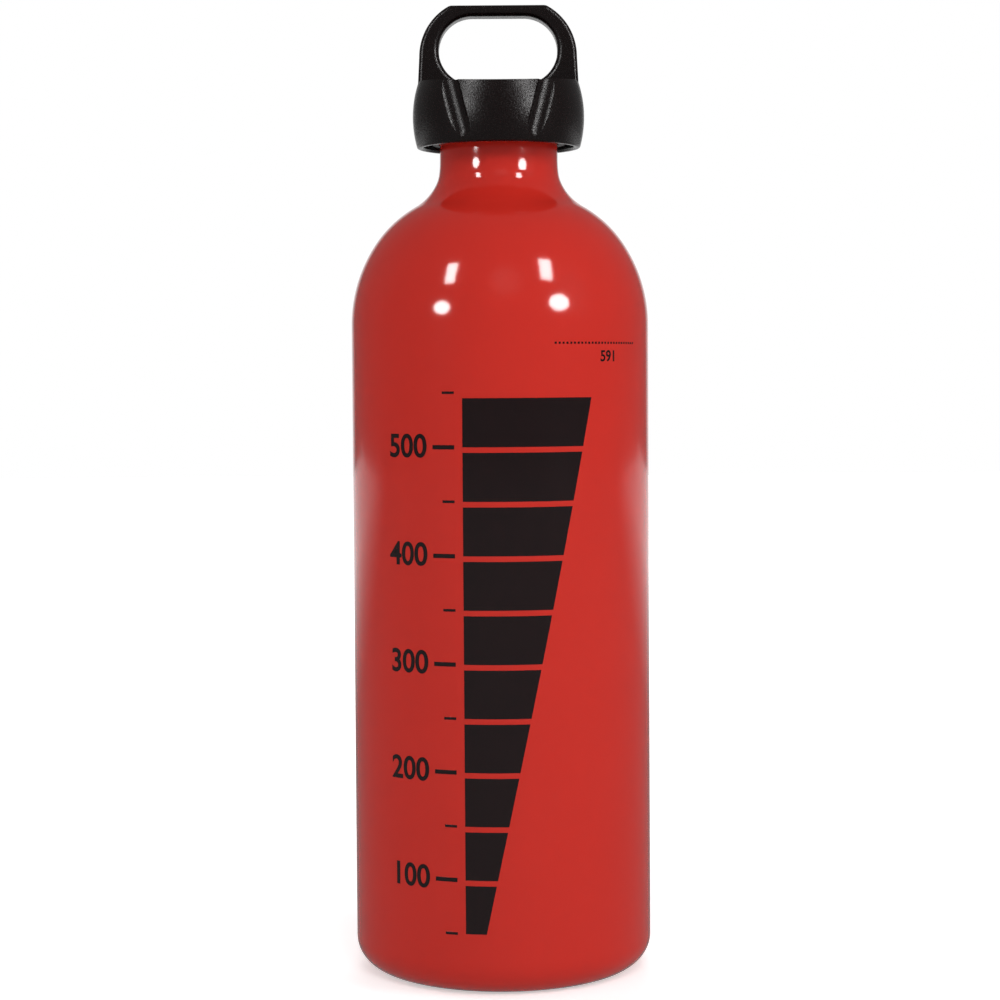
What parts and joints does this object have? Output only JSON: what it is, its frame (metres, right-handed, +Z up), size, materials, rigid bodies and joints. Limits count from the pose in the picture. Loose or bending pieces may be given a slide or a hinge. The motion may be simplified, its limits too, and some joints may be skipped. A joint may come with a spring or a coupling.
{
  "type": "camping fuel bottle",
  "caption": "Tall aluminium fuel bottle with rounded shoulders and a push-down-and-turn cap that carries a hanging loop.",
  "frame": {"origin": "centre of the foot ring, on the surface that the bottle stands on", "axes": "+Z up the axis of the bottle, X along the width of the cap's loop, Y through the loop's window; the pictured front faces -Y"},
  "size_m": [0.073, 0.073, 0.2366],
  "materials": {
    "red_enamel": "gloss",
    "black_plastic": "satin",
    "plug_plastic": "satin",
    "seal_rubber": "matte",
    "spring_steel": "satin"
  },
  "bodies": {
    "bottle": {"bottle": "red_enamel"},
    "seal": {"o_ring": "seal_rubber"},
    "plug": {"threaded_plug": "plug_plastic"},
    "spring": {"return_spring": "spring_steel"},
    "cap": {"cap_shell": "black_plastic"}
  },
  "joints": [
    {"name": "cap_rise", "type": "slide", "parent": "bottle", "child": "seal", "axis": [0, 0, 1], "range_m": [0, 0.012]},
    {"name": "cap_turn", "type": "hinge", "parent": "seal", "child": "plug", "pos_m": [0, 0, 0.2082], "axis": [0, 0, 1], "range_deg": [0, 1440]},
    {"name": "shell_spin", "type": "hinge", "parent": "plug", "child": "spring", "pos_m": [0, 0, 0.2148], "axis": [0, 0, 1], "continuous": true},
    {"name": "cap_press", "type": "slide", "parent": "spring", "child": "cap", "axis": [0, 0, 1], "range_m": [-0.0016, 0], "stiffness_N_per_m": 4000, "springref_m": 0.0012, "deforming": ["return_spring"]}
  ],
  "couplings": [
    {"joint": "cap_turn", "follows": "cap_rise", "rad_per_m": 2094.4}
  ]
}
